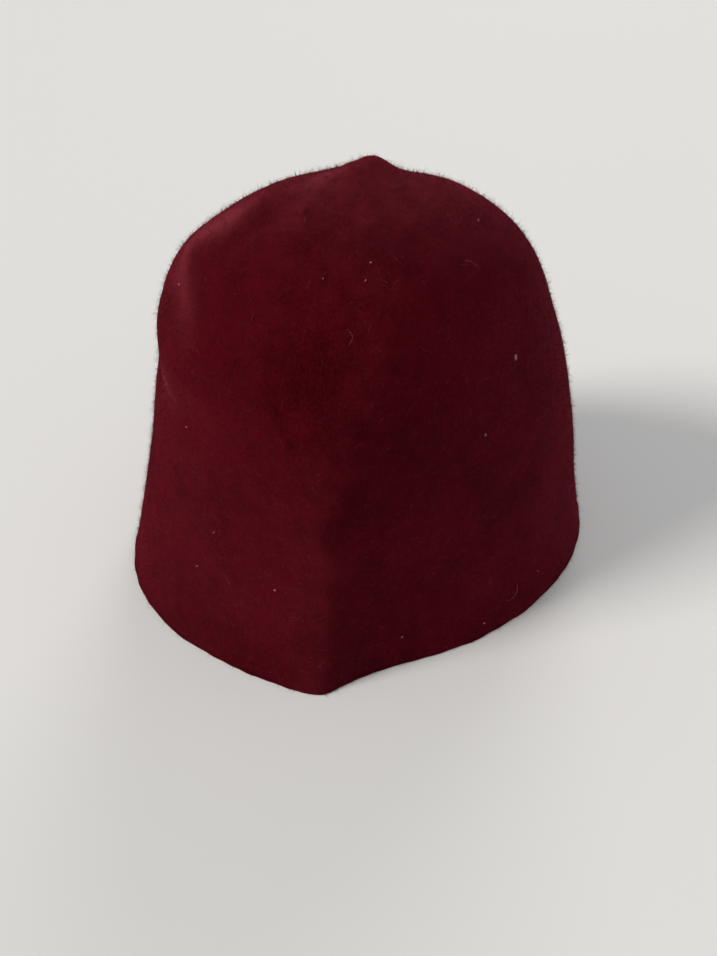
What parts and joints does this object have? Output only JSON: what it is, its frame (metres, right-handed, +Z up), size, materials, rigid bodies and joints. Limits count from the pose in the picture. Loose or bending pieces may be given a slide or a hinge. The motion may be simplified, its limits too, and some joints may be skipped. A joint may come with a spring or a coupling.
{
  "type": "soft felt fez",
  "caption": "Soft unblocked fez: a seamless domed crown of thick crimson wool felt with a small nub, a raw rim and storage folds, open below.",
  "frame": {"origin": "on the resting plane of the rim, in the middle of the crown's outer box", "axes": "+Z up from the rim to the peak, X along the opening's long way, -Y the side with the front fold"},
  "size_m": [0.2006, 0.1622, 0.1569],
  "materials": {
    "crimson_felt": "matted wool felt with short loose fibres, a soft sheen at grazing angles and some white lint"
  },
  "bodies": {
    "root": {"felt_crown": "crimson_felt"}
  },
  "joints": []
}
